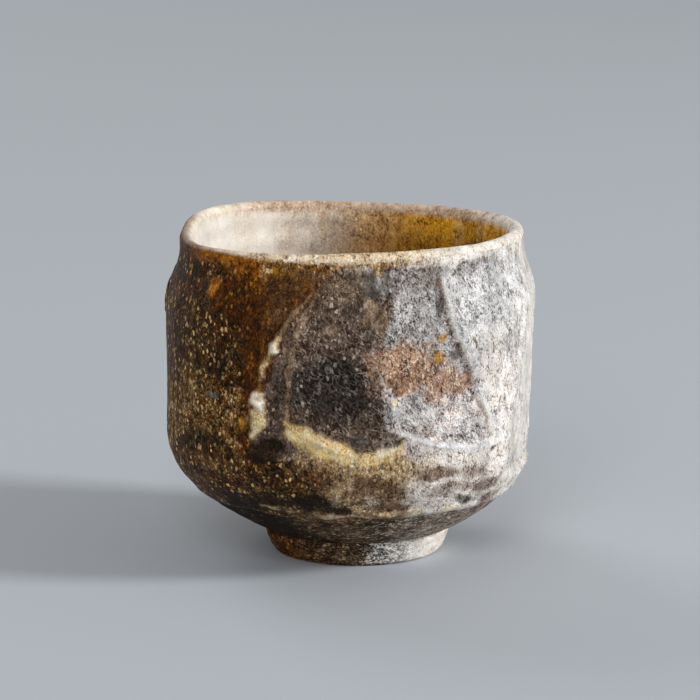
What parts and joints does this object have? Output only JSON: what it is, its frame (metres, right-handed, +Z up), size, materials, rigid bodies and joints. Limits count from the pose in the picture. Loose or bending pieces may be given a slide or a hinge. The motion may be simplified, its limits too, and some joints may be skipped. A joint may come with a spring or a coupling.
{
  "type": "sake cup",
  "caption": "Small hand-made stoneware sake cup with knife-cut faces, ash glaze outside, pale glaze inside and a low foot ring.",
  "frame": {"origin": "On the table under the middle of the cup's outer box.", "axes": "+Z is up through the mouth, -Y is the front that the picture shows, +X is the viewer's right."},
  "size_m": [0.0685, 0.0695, 0.0613],
  "materials": {
    "clay": "bare turned stoneware, dark brown and rough",
    "foot_clay": "bare stoneware, orange-brown to black with pale flecks",
    "slip": "matt fired slip",
    "inside_glaze": "satin ash glaze, cream to mustard brown",
    "ash_glaze": "crusted ash glaze, charcoal and brown with cream specks and ridges"
  },
  "bodies": {
    "root": {"bowl": "clay", "foot_ring": "foot_clay", "luting_slip": "slip", "inside_glaze": "inside_glaze", "ash_glaze": "ash_glaze"}
  },
  "joints": []
}
